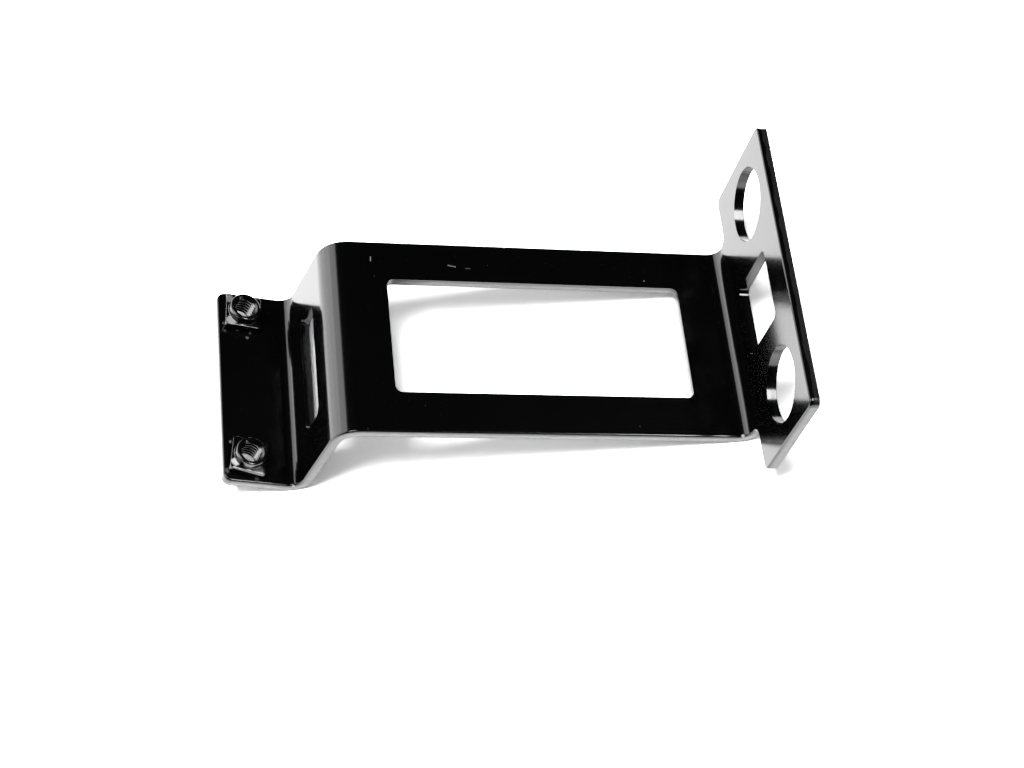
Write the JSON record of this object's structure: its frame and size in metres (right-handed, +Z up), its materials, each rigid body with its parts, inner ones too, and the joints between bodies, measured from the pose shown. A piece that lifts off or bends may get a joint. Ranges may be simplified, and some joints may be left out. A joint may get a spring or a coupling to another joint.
{
  "type": "rack mount ear bracket",
  "caption": "Offset bracket folded from steel strip: a rack ear with round and square holes, a windowed plate, a slotted riser and a tab with square-footed threaded bushes.",
  "frame": {"origin": "on the floor, under the middle of the bounding box of the bracket as it lies", "axes": "+Z up from the floor, +X along the strip from the threaded tab to the rack ear, +Y across the strip"},
  "size_m": [0.079, 0.044, 0.0218],
  "materials": {
    "gloss_black_sheet": "high gloss black, on the cut edges too",
    "gloss_black_bush": "gloss black"
  },
  "bodies": {
    "root": {"folded_sheet": "gloss_black_sheet", "threaded_bush_near": "gloss_black_bush", "threaded_bush_far": "gloss_black_bush"}
  },
  "joints": []
}
